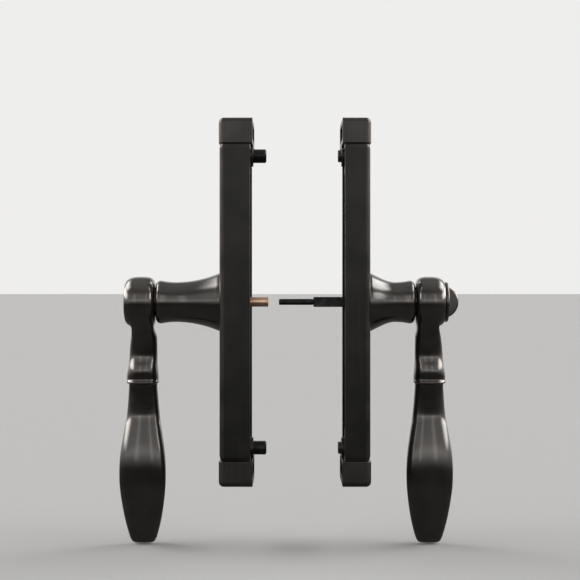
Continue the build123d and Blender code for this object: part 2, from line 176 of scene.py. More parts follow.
def satin(name, low, high, streak):
    """A satin bronze with drawn streaks along the door's height, between two colours."""

    def colour(hand):
        cloud = speckle(hand, 60.0)
        drawn = speckle(hand, 500.0, 3.0, (1, 1, 0.04))
        dark = tint(hand, cloud.ramp(0.35, 0.7), low, high)
        worn = tint(hand, rubbed(hand) * cloud.ramp(0.25, 0.6), dark, (0.055, 0.041, 0.032))
        return tint(hand, drawn.ramp(0.5, 0.8) * 0.3, worn, streak)

    def roughness(hand):
        return 0.24 + 0.1 * speckle(hand, 240.0) + 0.08 * speckle(hand, 900.0, 2.0, (1, 1, 0.04))

    def grain(hand):
        return speckle(hand, 1600.0, 3.0) + 0.8 * speckle(hand, 1400.0, 2.0, (1, 1, 0.03)), 0.00002

    steady = {"Metallic": 0.8, "Coat Weight": 0.1, "Coat Roughness": 0.25}
    return finish(name, colour, roughness, grain, steady)


bronze_satin = satin("bronze_satin", (0.011, 0.0107, 0.01), (0.016, 0.0152, 0.0142), (0.03, 0.028, 0.026))


def mark_rubbed(mesh, radius):
    """Writes the wear of each vertex: 1 where faces bend outwards as sharply as that radius, 0 on a flat."""
    corners = len(mesh.loops)
    place = np.empty(len(mesh.vertices) * 3)
    normal = np.empty(corners * 3)
    vertex = np.empty(corners, int)
    first = np.empty(len(mesh.polygons), int)
    total = np.empty(len(mesh.polygons), int)
    mesh.vertices.foreach_get("co", place)
    mesh.corner_normals.foreach_get("vector", normal)
    mesh.loops.foreach_get("vertex_index", vertex)
    mesh.polygons.foreach_get("loop_start", first)
    mesh.polygons.foreach_get("loop_total", total)
    place, normal = place.reshape(-1, 3), normal.reshape(-1, 3)
    following = np.arange(corners) + 1
    following[first + total - 1] = first
    along = place[vertex[following]] - place[vertex]
    bend = (along * (normal[following] - normal)).sum(1) / np.maximum((along**2).sum(1), 1e-12)
    face = np.repeat(np.arange(len(first)), total)
    sharpest = np.zeros(len(first))
    np.maximum.at(sharpest, face, bend)
    share = np.clip(sharpest * radius * MM, 0, 1)[face]
    meetings = np.bincount(vertex, minlength=len(place))
    worn = np.bincount(vertex, share, len(place)) / np.maximum(meetings, 1)
    worn[np.bincount(vertex, share < UNWORN, len(place)) > 0] = 0
    mesh.attributes.new("rubbed", "FLOAT", "POINT").data.foreach_set("value", worn.astype(np.float32))


def passing(work, name="passing"):
    """A bmesh as an object that is there only until its modifiers are applied."""
    made = bpy.data.objects.new(name, bpy.data.meshes.new(name))
    work.to_mesh(made.data)
    work.free()
    bpy.context.scene.collection.objects.link(made)
    return made


def applied(made):
    """The mesh of a passing object with its modifiers applied. The object goes."""
    bpy.context.view_layer.update()
    mesh = bpy.data.meshes.new_from_object(made.evaluated_get(bpy.context.evaluated_depsgraph_get()))
    bpy.data.objects.remove(made)
    return mesh


def combined(work, *changes):
    """A bmesh with others joined to it or cut from it: each change is UNION or DIFFERENCE and a bmesh."""
    for operation, other in changes:
        bmesh.ops.recalc_face_normals(other, faces=other.faces)
        base, tool = passing(work), passing(other)
        cut = base.modifiers.new("cut", "BOOLEAN")
        cut.operation = operation
        cut.solver = "EXACT"
        cut.object = tool
        work = bmesh.new()
        work.from_mesh(applied(base))
        bpy.data.objects.remove(tool)
    return work


def settle(work, node, material, place, edge=0.0, wear=1.0):
    """Turns a bmesh in millimetres into the finished piece that stands for a node.

    Edge is the width of the bevel on its sharp edges, and wear the radius that hands rub bright.
    """
    bmesh.ops.transform(work, matrix=place, verts=work.verts)
    bmesh.ops.recalc_face_normals(work, faces=work.faces)
    made = passing(work)
    if edge:
        softened = made.modifiers.new("softened", "BEVEL")
        softened.width = edge * MM
        softened.segments = 3
        softened.limit_method = "ANGLE"
        softened.angle_limit = SHARP
        softened.use_clamp_overlap = False
    shaped = bpy.data.objects.new("shaped", applied(made))
    bpy.context.scene.collection.objects.link(shaped)
    shaped.data.polygons.foreach_set("use_smooth", [True] * len(shaped.data.polygons))
    shaped.data.set_sharp_from_angle(angle=SHARP)
    flattened = shaped.modifiers.new("flattened", "WEIGHTED_NORMAL")
    flattened.keep_sharp = True
    mesh = applied(shaped)
    mark_rubbed(mesh, wear)
    mesh.materials.clear()
    mesh.materials.append(material)
    piece = bpy.data.objects.new(f"{node}_piece", mesh)
    bpy.context.scene.collection.objects.link(piece)
    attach(piece, frame["nodes"][node]["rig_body"])
    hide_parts(node)
    return piece


def block(u_low, u_high, half, z_low, z_high):
    """A plain block, centred on the plane of the lever."""
    work = bmesh.new()
    bmesh.ops.create_cube(work, size=1.0)
    bmesh.ops.scale(work, verts=work.verts, vec=(u_high - u_low, 2 * half, z_high - z_low))
    middle = ((u_low + u_high) / 2, 0, (z_low + z_high) / 2)
    bmesh.ops.translate(work, verts=work.verts, vec=middle)
    return work


def turned(outline, steps=96, closed=True, y=0.0, z=0.0):
    """A body turned about X, from pairs of u and radius. An outline from axis to axis isn't closed."""
    work = bmesh.new()
    points = [work.verts.new((u, 0, radius)) for u, radius in outline]
    lines = [work.edges.new(ends) for ends in zip(points, points[1:])]
    if closed:
        lines.append(work.edges.new((points[-1], points[0])))
    bmesh.ops.spin(
        work, geom=points + lines, cent=(0, 0, 0), axis=(1, 0, 0), angle=2 * pi, steps=steps, use_merge=True
    )
    bmesh.ops.remove_doubles(work, verts=work.verts, dist=TOUCHING)
    bmesh.ops.recalc_face_normals(work, faces=work.faces)
    bmesh.ops.translate(work, verts=work.verts, vec=(0, y, z))
    return work


def bar(u_low, u_high, radius, y=0.0, z=0.0, steps=64):
    """A plain round bar along X."""
    return turned([(u_low, 0), (u_low, radius), (u_high, radius), (u_high, 0)], steps, False, y, z)


def arc(u, radius, size, start, end, steps=6):
    """Points on an arc about a centre, from one angle to another, with 0 along u and 90 outwards."""
    angles = [radians(start + (end - start) * step / steps) for step in range(steps + 1)]
    return [(u + size * cos(angle), radius + size * sin(angle)) for angle in angles]


EDGE_RADIUS = 2.6
INNER_RADIUS = 1.0
FRONT_WALL = 2.2
SIDE_WALL = 2.0
CHANNEL_BEVEL = (2.6, 0.8)       # its length and its depth
CHANNEL_EDGE = 0.16
COLLAR_SPIGOT = 9.2
SPIGOT_GAP = 0.1
SCREW_CIRCLE = 11.4              # the circle on which the collar's screws stand
SCREW_RADIUS = 1.25
SCREW_HEAD = 2.0                 # its radius
SCREW_WAY = 2.3                  # the radius of the way for a fixing screw
STOP_LUG = 3.2                   # the width of the stop washer's lug, which meets a screw at each end
STOP_MARGIN = 0.25
half_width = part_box("exterior_plate")[1].y / MM
half_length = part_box("exterior_plate")[1].z / MM
fixing_height = mounts["exterior_posts"]["dims"]["pcd_mm"] / 2
screw_turn = asin((STOP_LUG / 2 + SCREW_HEAD + STOP_MARGIN) / SCREW_CIRCLE)
collar_screws = [(way * SCREW_CIRCLE * cos(screw_turn), SCREW_CIRCLE * sin(screw_turn)) for way in (-1, 1)]


def channel_section(back, front, half, corner):
    """The corner points of the channel across its length, with the front corners rounded."""
    lower = arc(front - corner, -half + corner, corner, -90, 0)
    upper = arc(front - corner, half - corner, corner, 0, 90)
    return [(back, -half), *lower, *upper, (back, half)]


def long_bar(rings):
    """A section extruded upwards through rings, each a height and the section's points there."""
    work = bmesh.new()
    height, points = rings[0]
    ring = work.faces.new([work.verts.new((u, y, height)) for u, y in points])
    for step, (height, points) in enumerate(rings[1:]):
        grown = bmesh.ops.extrude_face_region(work, geom=[ring], use_keep_orig=True)
        if step:
            bmesh.ops.delete(work, geom=[ring], context="FACES_ONLY")
        ring = next(item for item in grown["geom"] if isinstance(item, bmesh.types.BMFace))
        for vertex, (u, y) in zip(ring.verts, points):
            vertex.co = (u, y, height)
    bmesh.ops.recalc_face_normals(work, faces=work.faces)
    return work


def channel(side):
    """The folded channel: a bar that shrinks at both ends, hollowed from its back and pierced."""
    front, back = reach(f"{side}_plate", side)
    length, depth = CHANNEL_BEVEL
    full = channel_section(back, front, half_width, EDGE_RADIUS)
    small = channel_section(back, front - depth, half_width - depth, EDGE_RADIUS - depth)
    inside = front - FRONT_WALL
    hollow = channel_section(back - PAST, inside, half_width - SIDE_WALL, INNER_RADIUS)
    straight = half_length - length
    body = long_bar([(-half_length, small), (-straight, full), (straight, full), (half_length, small)])
    past_end = half_length + PAST
    cuts = [long_bar([(-past_end, hollow), (past_end, hollow)])]
    cuts += [bar(0, front + PAST, COLLAR_SPIGOT + SPIGOT_GAP)]
    cuts += [bar(0, front + PAST, SCREW_RADIUS + SPIGOT_GAP, y, z, 24) for y, z in collar_screws]
    if side == "interior":
        cuts += [bar(0, front + PAST, SCREW_WAY, 0, z, 32) for z in (-fixing_height, fixing_height)]
    return combined(body, *[("DIFFERENCE", cut) for cut in cuts])


for side, place in SIDES.items():
    settle(channel(side), f"{side}_plate", bronze_satin, place, edge=CHANNEL_EDGE)


# The end caps
# Zinc castings that close the channels. A cap's tongue lies against the channel's front wall inside, and
# carries the boss of a fixing, with a rib and a web behind it. The lower cap is the upper one turned over.
CAP_WALL = 2.6
CAP_RADIUS = 2.6                 # its outer corners
MOULD_RADIUS = 0.8               # the inside corners of the casting
CAP_EDGE = 0.18
TONGUE = (15.0, 2.6)             # its length and its thickness
TONGUE_GAP = 0.2
RIB = 2.0
RIB_EASE = 0.5                   # how far the rib stays in from the tongue's end and the web's back
WEB_SINK = 0.5                   # how far the web runs into the cap's wall
BOSS_RADIUS = 5.4
SPIGOT_RADIUS = 3.1
POST = (3.5, 9.0)                # a post's radius and how deep it is seated
bronze_cast = satin("bronze_cast", (0.026, 0.025, 0.0235), (0.038, 0.036, 0.0335), (0.06, 0.056, 0.051))


def rounded_end(front, half, low, high):
    """The cap's outside: a block with its front corners and its end edges rounded."""
    work = block(0, front, half, low, high)
    tall, brim = [], []
    for edge in work.edges:
        ahead = [vertex.co.x > front / 2 for vertex in edge.verts]
        above = [vertex.co.z > (low + high) / 2 for vertex in edge.verts]
        if all(ahead) and any(above) and not all(above):
            tall.append(edge)
        if all(above) and any(ahead):
            brim.append(edge)
    bmesh.ops.bevel(
        work, geom=tall + brim, offset=CAP_RADIUS, segments=7, profile=0.5, affect="EDGES", material=-1
    )
    return work


def softened_block(u_low, u_high, half, z_low, z_high, radius):
    """A block with the edges along X rounded, as a mould leaves them."""
    work = block(u_low, u_high, half, z_low, z_high)
    along = [edge for edge in work.edges if abs(edge.verts[0].co.x - edge.verts[1].co.x) > radius / 2]
    bmesh.ops.bevel(work, geom=along, offset=radius, segments=4, profile=0.5, affect="EDGES", material=-1)
    return work


def cap(side):
    """The upper cap of a half, in its place."""
    front = reach(f"{side}_upper_cap", side)[0]
    back = reach(f"{side}_plate", side)[1]
    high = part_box(f"{side}_upper_cap")[1].z / MM
    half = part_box(f"{side}_upper_cap")[1].y / MM
    inside = reach(f"{side}_plate", side)[0] - FRONT_WALL
    tongue_half = half_width - SIDE_WALL - TONGUE_GAP
    low = half_length - TONGUE[0]
    web_half = tongue_half - INNER_RADIUS
    body = rounded_end(front, half, half_length, high)
    wall_low, wall_high = half_length + CAP_WALL, high - CAP_WALL
    pocket = softened_block(-PAST, front - CAP_WALL, half - CAP_WALL, wall_low, wall_high, MOULD_RADIUS)
    tongue_end = half_length + PAST
    tongue = softened_block(inside - TONGUE[1], inside, tongue_half, low, tongue_end, MOULD_RADIUS)
    buried = inside - TONGUE[1] / 2
    web = block(back, buried, web_half, half_length - RIB, half_length + WEB_SINK)
    rib = block(back + RIB_EASE, buried, RIB / 2, low + RIB_EASE, half_length - RIB / 2)
    boss = [(0, BOSS_RADIUS), (buried, BOSS_RADIUS), (buried, 0)]
    if side == "exterior":
        boss = [(0, 0), *boss]
        way = bar(-PAST, POST[1], POST[0], 0, fixing_height, 48)
    else:
        end = reach("interior_upper_cap", "interior")[1]
        boss = [(end, 0), (end, SPIGOT_RADIUS), (0, SPIGOT_RADIUS), *boss]
        way = bar(end - PAST, front + PAST, SCREW_WAY, 0, fixing_height, 48)
    boss = turned(boss, 48, False, 0, fixing_height)
    joined = [("UNION", grown) for grown in (tongue, web, rib, boss)]
    return combined(body, ("DIFFERENCE", pocket), *joined, ("DIFFERENCE", way))


for side, place in SIDES.items():
    over = place @ Matrix.Rotation(pi, 4, "X")
    settle(cap(side), f"{side}_upper_cap", bronze_cast, place, edge=CAP_EDGE)
    settle(cap(side), f"{side}_lower_cap", bronze_cast, over, edge=CAP_EDGE)


# The posts
# Two turned steel posts, pressed into the exterior bosses and blackened, with a tapped hole for the screws.
THREAD = (1.7, 0.7, 0.3)         # its inner radius, its pitch and its depth
THREAD_DEPTH = 12.0
THREAD_LEAD = 0.3                # the plain part at each end of the tapped hole
POST_EDGE = 0.6


def black_colour(hand):
    return tint(hand, speckle(hand, 300.0).ramp(0.3, 0.75), (0.012, 0.012, 0.013), (0.032, 0.031, 0.03))


black_oxide = finish(
    "black_oxide",
    black_colour,
    lambda hand: 0.32 + 0.2 * speckle(hand, 500.0),
    lambda hand: (speckle(hand, 1800.0, 2.0, (0.2, 1, 1)), 0.00002),
    {"Metallic": 0.85},
)


def tapped(low, depth):
    """The outline of a threaded hole, from its mouth inwards."""
    radius, pitch, height = THREAD
    teeth = []
    for turn in range(int((depth - 2 * THREAD_LEAD) / pitch)):
        root = low + THREAD_LEAD + pitch * turn
        teeth += [(root, radius), (root + pitch / 2, radius + height)]
    return [(low, radius + height), *teeth, (low + depth, radius), (low + depth, 0)]


def posts():
    """Both posts: one is turned, and its twin is moved down to the lower cap."""
    low = reach("exterior_posts", "exterior")[1]
    radius, seat = POST
    outline = [(seat, 0), (seat, radius), (low + POST_EDGE, radius), (low, radius - POST_EDGE)]
    made = turned(outline + tapped(low, THREAD_DEPTH), 48, False, 0, fixing_height)
    copied = bmesh.ops.duplicate(made, geom=made.verts[:] + made.edges[:] + made.faces[:])
    twin = [item for item in copied["geom"] if isinstance(item, bmesh.types.BMVert)]
    bmesh.ops.translate(made, verts=twin, vec=(0, 0, -2 * fixing_height))
    return made


settle(posts(), "exterior_posts", black_oxide, SIDES["exterior"])


# The collars
# Zinc castings, polished before they are plated, so the bronze is glossier on them. Each has a flared base
# against its channel, a neck, and a rounded lip at the groove beside the hub. The bushing is pressed in.
NECK_RADIUS = 10.25
NECK_LENGTH = 10.0
BASE_RADIUS = 14.9
BASE_RIM = 0.9                   # the thickness of the rim against the channel
BASE_EDGE = 0.15
FLARE_SLOPE = 0.42
LIP = (11.05, 2.3)               # its radius and the rounding of its outer corner
LIP_RISE = 0.3                   # the short straight rise from the neck's swell to the rounding
LIP_DIP = 0.6                    # how far its end falls away into the groove beside the hub
BUSHING_RADIUS = 7.74
SEAT_GAP = 0.05
COLLAR_WEAR = 1.2


def gloss_colour(hand):
    cloud = speckle(hand, 90.0)
    dark = tint(hand, cloud.ramp(0.35, 0.7), (0.026, 0.0245, 0.0225), (0.040, 0.0365, 0.033))
    return tint(hand, rubbed(hand) * cloud.ramp(0.2, 0.6), dark, (0.07, 0.046, 0.034))


bronze_gloss = finish(
    "bronze_gloss",
    gloss_colour,
    lambda hand: 0.16 + 0.12 * speckle(hand, 300.0),
    lambda hand: (speckle(hand, 900.0, 3.0), 0.000012),
    {"Metallic": 0.8, "Coat Weight": 1.0, "Coat Roughness": 0.06},
)


def flare(start, end, steps=18):
    """The curve from the neck out to the base: level at the neck, and a slope at the base."""
    (u0, r0), (u1, r1) = start, end
    span = u0 - u1
    points = []
    for step in range(1, steps):
        t = step / steps
        rise = (3 * t**2 - 2 * t**3) * (r1 - r0) + (t**3 - t**2) * FLARE_SLOPE * span
        points.append((u0 - t * span, r0 + rise))
    return points


def collar(side):
    """The collar's outline from its spigot over base, neck and lip back to the bore, turned."""
    end, spigot = reach(f"{side}_collar", side)
    depth = reach(f"{side}_plate", side)[0]
    lip_radius, corner = LIP
    bore = BUSHING_RADIUS + SEAT_GAP
    neck = (end - NECK_LENGTH, NECK_RADIUS)
    base = (depth + BASE_RIM, BASE_RADIUS)
    outline = [(spigot, bore), (spigot, COLLAR_SPIGOT), (depth, COLLAR_SPIGOT)]
    outline += [(depth, BASE_RADIUS - BASE_EDGE), (depth + BASE_EDGE, BASE_RADIUS), base]
    outline += flare(neck, base)[::-1]
    swell = (end - corner - LIP_RISE - neck[0], lip_radius - NECK_RADIUS)
    for share in [step / 10 for step in range(10)]:
        outline.append((neck[0] + swell[0] * share, NECK_RADIUS + swell[1] * share**2))
    outline += arc(end - corner, lip_radius - corner, corner, 95, 10, 10)
    outline += [(end, lip_radius - corner - LIP_DIP / 2), (end, bore)]
    return turned(outline)


for side, place in SIDES.items():
    settle(collar(side), f"{side}_collar", bronze_gloss, place, wear=COLLAR_WEAR)


# The levers
# One zinc casting each: a crowned hub, an arm that swells to a bead, and a paddle that waves to a blunt tip.
# The shank goes back through the collar, with two flats for the stop washer and a groove for the ring.
HUB_RADIUS = 13.0
HUB_SIDES = 24
HUB_GAP = 0.4                    # the groove between the collar's lip and the hub
HUB_CROWN = 0.02                 # how much fuller the barrel is at its middle
# How far from the hub's inner or outer face, and how far under its full radius.
HUB_INNER = [(0.0, 6.0), (0.05, 3.2), (0.9, 1.25), (2.7, 0.25), (4.9, 0.0)]
HUB_OUTER = [(6.0, 0.0), (3.6, 0.25), (1.5, 1.15), (0.25, 2.4), (0.0, 3.5), (0.0, 7.0)]
ARM_RINGS = (3, 8)               # the hub's rings between which the arm grows
ARM_SIDES = 4                    # the sides of the hub that it grows from
ARM_OFFSET = {"exterior": -0.95, "interior": 0.0}       # along X from the hub's middle
SECTION_FULLNESS = 2.35          # 2 is an ellipse, more is squarer
RING_SPACING = 1.6
LEVER_WEAR = 1.6
SHANK_RADIUS = 6.5
SHANK_TAIL = 1.4
SHANK_EDGE = 0.3
RING_SLOT = 1.2
RING_GROOVE = 5.55               # the radius at the bottom of the ring's groove
STOP_THICKNESS = 1.5
FLAT_DISTANCE = 5.5
# Stations are drop below the axis, width along X, thickness along Y, and the offsets along Y and X.
ARM = [
    (16.2, 13.2, 12.2, 0.4, -0.9),
    (21.5, 13.9, 10.4, 0.9, -0.6),
    (25.0, 14.2, 10.2, 1.3, -0.45),
    (28.6, 14.4, 10.3, 1.45, -0.35),
    (29.8, 14.5, 11.1, 1.5, -0.3),
    (31.4, 14.7, 12.8, 1.6, -0.25),
    (32.8, 15.0, 13.9, 1.7, -0.2),
    (34.0, 15.35, 14.6, 1.75, -0.1),
    (35.2, 15.7, 14.8, 1.8, -0.05),
    (36.6, 16.0, 14.7, 1.85, 0.0),
    (38.0, 16.2, 14.4, 1.9, 0.0),
    (39.0, 16.2, 14.3, 1.95, 0.0),
]
BEAD_RIM = [
    (39.6, 16.2, 14.4, 1.95, 0.0),
    (40.1, 16.35, 15.1, 1.95, 0.0),
    (40.6, 16.6, 15.8, 1.95, 0.0),
    (41.0, 16.55, 15.8, 2.0, 0.0),
    (41.35, 16.0, 15.1, 2.2, 0.0),
    (41.6, 14.9, 13.6, 2.6, 0.0),
    (41.75, 14.6, 11.8, 3.0, 0.0),
    (41.85, 14.5, 10.6, 3.2, 0.0),
    (42.3, 14.45, 9.9, 3.35, 0.0),
]
PADDLE = [
    (43.2, 14.5, 9.7, 3.45, 0.0),
    (47.0, 15.0, 9.3, 3.7, 0.0),
    (51.5, 15.6, 9.1, 3.9, 0.0),
    (55.5, 16.3, 9.1, 4.1, 0.0),
    (59.3, 17.1, 9.3, 4.15, 0.0),
    (61.2, 17.6, 9.7, 3.95, 0.0),
    (63.0, 18.3, 10.1, 3.6, 0.0),
    (66.0, 19.4, 10.5, 3.0, 0.0),
    (69.3, 20.4, 10.8, 2.25, 0.0),
    (73.0, 21.6, 11.0, 1.5, 0.0),
    (78.0, 22.8, 11.0, 0.7, 0.0),
    (83.0, 23.5, 10.9, 0.3, 0.0),
    (88.0, 23.7, 10.6, 0.25, 0.0),
    (93.0, 23.5, 10.3, 0.5, 0.0),
    (104.0, 21.2, 9.2, 2.3, 0.0),
    (114.0, 17.6, 7.9, 4.0, 0.0),
    (120.5, 14.2, 6.8, 4.7, 0.0),
]
TIP = [
    (122.6, 12.5, 5.7, 4.85, 0.0),
    (123.7, 10.6, 4.0, 4.95, 0.0),
    (124.05, 8.0, 2.4, 5.0, 0.0),
    (124.1, 4.0, 1.0, 5.0, 0.0),
]


def flowing(stations):
    """The stations with more between them, on a smooth curve through all."""
    table = np.array(stations)
    drops = table[:, 0]
    slopes = np.gradient(table, drops, axis=0)
    rows = []
    count = int((drops[-1] - drops[0]) / RING_SPACING)
    for drop in np.linspace(drops[0], drops[-1], count):
        place = min(np.searchsorted(drops, drop, side="right") - 1, len(drops) - 2)
        step = drops[place + 1] - drops[place]
        t = (drop - drops[place]) / step
        start = (2 * t**3 - 3 * t**2 + 1) * table[place] + (t**3 - 2 * t**2 + t) * step * slopes[place]
        end = (3 * t**2 - 2 * t**3) * table[place + 1] + (t**3 - t**2) * step * slopes[place + 1]
        rows.append(tuple(start + end))
    return rows


def overshoot(sides):
    """How much larger a cage with that many sides is than the round that its subdivision settles to."""
    return 3 / (2 + cos(2 * pi / sides))


def leaning_rings():
    """The rings of the arm, bead and paddle, each with the angle at which it leans across its wave."""
    arm, paddle = flowing(ARM), flowing(PADDLE) + TIP
    slopes = [np.gradient([row[3] for row in part], [row[0] for row in part]) for part in (arm, paddle)]
    slopes = np.concatenate([slopes[0], np.full(len(BEAD_RIM), slopes[0][-1]), slopes[1]])
    slopes = np.convolve(np.pad(slopes, 2, "edge"), np.ones(5) / 5, "valid")
    return zip(arm + BEAD_RIM + paddle, np.arctan(slopes))


def hub_outline(length):
    """Rings of the barrel from its inner face to its outer one, as distance along it and radius."""
    inner = [(along, HUB_RADIUS - under) for along, under in HUB_INNER]
    outer = [(length - along, HUB_RADIUS - under) for along, under in HUB_OUTER]
    return [(0.0, 0.0), *inner, (length / 2, HUB_RADIUS + HUB_CROWN), *outer, (length, 0.0)]


def spot(vertex):
    """A vertex's place seen from below, which a new ring takes over from the one before it."""
    return round(vertex.co.x, 5), round(vertex.co.y, 5)


def squarish(angle, size):
    """A point on the arm's section, as shares of its half width and half thickness times the size."""
    across, along = cos(angle), sin(angle)
    power = 2 / SECTION_FULLNESS
    return size * copysign(abs(across) ** power, across), size * copysign(abs(along) ** power, along)


def lever_cage(length, arm_offset):
    """A coarse cage of the hub, arm, bead and paddle, for a subdivision surface. The hub starts at u of 0."""
    outline = hub_outline(length)
    work = turned([(u, radius * overshoot(HUB_SIDES)) for u, radius in outline], HUB_SIDES, False)
    low, high = (outline[ring][0] for ring in ARM_RINGS)
    opening = []
    for face in work.faces:
        place = face.calc_center_median()
        if low < place.x < high and abs(atan2(place.y, -place.z)) < ARM_SIDES * pi / HUB_SIDES:
            opening.append(face)
    bmesh.ops.delete(work, geom=opening, context="FACES")
    rim = [edge for edge in work.edges if edge.is_boundary]
    centre, middle = (low + high) / 2, length / 2 + arm_offset
    turns = {spot(vertex): atan2(vertex.co.y, vertex.co.x - centre) for edge in rim for vertex in edge.verts}
    order = sorted(turns, key=turns.get)
    first = turns[order[0]]
    turns = {place: first + 2 * pi * count / len(order) for count, place in enumerate(order)}
    size = overshoot(len(rim)) / 2
    for (drop, width, thickness, y_offset, x_offset), lean in leaning_rings():
        grown = bmesh.ops.extrude_edge_only(work, edges=rim)["geom"]
        rim = [item for item in grown if isinstance(item, bmesh.types.BMEdge)]
        placed = {}
        for vertex in {vertex for edge in rim for vertex in edge.verts}:
            angle = turns[spot(vertex)]
            across, along = squarish(angle, size)
            x, y = across * width, along * thickness
            vertex.co = (middle + x_offset + x, y_offset + y * cos(lean), y * sin(lean) - drop)
            placed[spot(vertex)] = angle
        turns = placed
    bmesh.ops.contextual_create(work, geom=rim)
    return work


def shank(start, end):
    """The round shank from its tail to the hub, with the ring's groove."""
    groove = (end + SHANK_TAIL, end + SHANK_TAIL + RING_SLOT)
    outline = [(end, 0), (end, SHANK_RADIUS - SHANK_EDGE), (end + SHANK_EDGE, SHANK_RADIUS)]
    outline += [(groove[0], SHANK_RADIUS), (groove[0], RING_GROOVE), (groove[1], RING_GROOVE)]
    outline += [(groove[1], SHANK_RADIUS), (start + PAST, SHANK_RADIUS), (start + PAST, 0)]
    work = turned(outline, 64, False)
    high = groove[1] + STOP_THICKNESS
    flats = []
    for way in (-1, 1):
        flat = block(end - PAST, high, SHANK_RADIUS / 2, -2 * SHANK_RADIUS, 2 * SHANK_RADIUS)
        bmesh.ops.translate(flat, verts=flat.verts, vec=(0, way * (FLAT_DISTANCE + SHANK_RADIUS / 2), 0))
        flats.append(("DIFFERENCE", flat))
    return combined(work, *flats)


def lever(side, cuts):
    """The whole casting in its place. Cuts are the ways for what goes through it."""
    start = reach(f"{side}_collar", side)[0] + HUB_GAP
    end = reach(f"{side}_lever", side)[1]
    length = hub_end[side] - start
    made = passing(lever_cage(length, ARM_OFFSET[side]))
    rounding = made.modifiers.new("rounding", "SUBSURF")
    rounding.levels = rounding.render_levels = 2
    work = bmesh.new()
    work.from_mesh(applied(made))
    bmesh.ops.translate(work, verts=work.verts, vec=(start, 0, 0))
    return combined(work, ("UNION", shank(start, end)), *[("DIFFERENCE", cut) for cut in cuts])


RUNNING_GAP = 0.04
END_PLAY = 0.3
HOUSING_RADIUS = 8.4
HOUSING_RECESS = 0.2             # how far the key cylinder's face lies below the hub's end
SLEEVE_WAY = 2.75
TURN_STUB = (3.0, 9.0)           # the radius and length of the thumb-turn's stub
SPINDLE_SIDE = 5.1
ROD_WAY = 1.4
PIN_RADIUS = 0.8
housing_front, housing_back = reach("cylinder_housing", "exterior")
hub_end = {"exterior": housing_front + HOUSING_RECESS}
spindle_end = reach("spindle", "interior")[0]
pin_place = sum(reach("spindle_pin", "interior")) / 2
pin_height = (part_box("spindle_pin")[0].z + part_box("spindle_pin")[1].z) / 2 / MM
turn_back = reach("thumb_turn", "interior")[1]
hub_end["interior"] = turn_back + TURN_STUB[1]
socket = SPINDLE_SIDE / 2 + SEAT_GAP
pin_way = bar(-SHANK_RADIUS, SHANK_RADIUS, PIN_RADIUS, 0, 0, 24)
bmesh.ops.rotate(pin_way, verts=pin_way.verts, matrix=Matrix.Rotation(pi / 2, 3, "Z"))
bmesh.ops.translate(pin_way, verts=pin_way.verts, vec=(pin_place, 0, pin_height))
exterior_ways = [
    bar(housing_back, hub_end["exterior"] + PAST, HOUSING_RADIUS + SEAT_GAP, steps=96),
    bar(0, housing_back + PAST, SLEEVE_WAY, steps=48),
]
interior_ways = [
    block(0, spindle_end + SEAT_GAP, socket, -socket, socket),
    bar(spindle_end - PAST, hub_end["interior"], ROD_WAY, steps=32),
    bar(turn_back - END_PLAY, hub_end["interior"] + PAST, TURN_STUB[0] + RUNNING_GAP, steps=48),
    pin_way,
]
for side, ways in {"exterior": exterior_ways, "interior": interior_ways}.items():
    settle(lever(side, ways), f"{side}_lever", bronze_gloss, SIDES[side], wear=LEVER_WEAR)


# What holds the levers in the collars
# A nylon bushing in each collar, a bowed spring washer, a stop washer and a snap ring, all of zinc-plated
# steel but the bushing, and two slotted screws that hold the collar. Their turned and stamped shapes stay.


def zinc_colour(hand):
    cloud = speckle(hand, 400.0)
    return tint(hand, cloud.ramp(0.3, 0.7), (0.42, 0.42, 0.40), (0.58, 0.58, 0.55))


zinc = finish(
    "zinc_plate",
    zinc_colour,
    lambda hand: 0.28 + 0.2 * speckle(hand, 800.0),
    lambda hand: (speckle(hand, 2400.0, 2.0), 0.00001),
    {"Metallic": 1.0},
)
nylon = finish(
    "natural_nylon",
    lambda hand: tint(hand, speckle(hand, 200.0), (0.68, 0.66, 0.60), (0.76, 0.74, 0.69)),
    lambda hand: 0.45 + 0.1 * speckle(hand, 600.0),
    lambda hand: (speckle(hand, 1500.0), 0.00001),
)


def dress(material, *nodes):
    """Gives CAD nodes, whose shape stays, a better finish."""
    for node in nodes:
        frame["nodes"][node].material_slots[0].material = material


for side in SIDES:
    dress(nylon, f"{side}_bushing")
    for name in ("spring_washer", "stop_washer", "retaining_ring", "collar_screws"):
        dress(zinc, f"{side}_{name}")


# The key cylinder
# A housing pressed into the exterior hub's end and a nickel-plated plug that turns in it, with a keyway and
# four brass wafers. A brass sleeve on the plug's back goes through the shank to the latch.
nickel = finish(
    "satin_nickel",
    lambda hand: tint(hand, speckle(hand, 350.0), (0.40, 0.375, 0.335), (0.52, 0.49, 0.44)),
    lambda hand: 0.25 + 0.15 * speckle(hand, 900.0),
    lambda hand: (speckle(hand, 1800.0, 2.0, (1, 0.1, 1)), 0.00001),
    {"Metallic": 1.0},
)
brass = finish(
    "dull_brass",
    lambda hand: tint(hand, speckle(hand, 260.0).ramp(0.3, 0.75), (0.62, 0.36, 0.23), (0.78, 0.52, 0.38)),
    lambda hand: 0.25 + 0.2 * speckle(hand, 700.0),
    lambda hand: (speckle(hand, 1200.0, 2.0, (0.1, 1, 1)), 0.00002),
    {"Metallic": 1.0},
)
dress(bronze_gloss, "cylinder_housing")
dress(nickel, "cylinder_plug")
dress(brass, "cylinder_wafers", "drive_sleeve")


# The spindle and the lock rod
# A square steel spindle, cross-pinned in the interior shank and blackened as the posts are, and a round rod
# inside it that the thumb-turn turns.
dress(black_oxide, "spindle", "lock_rod")
dress(zinc, "spindle_pin", "thumb_turn_pin")


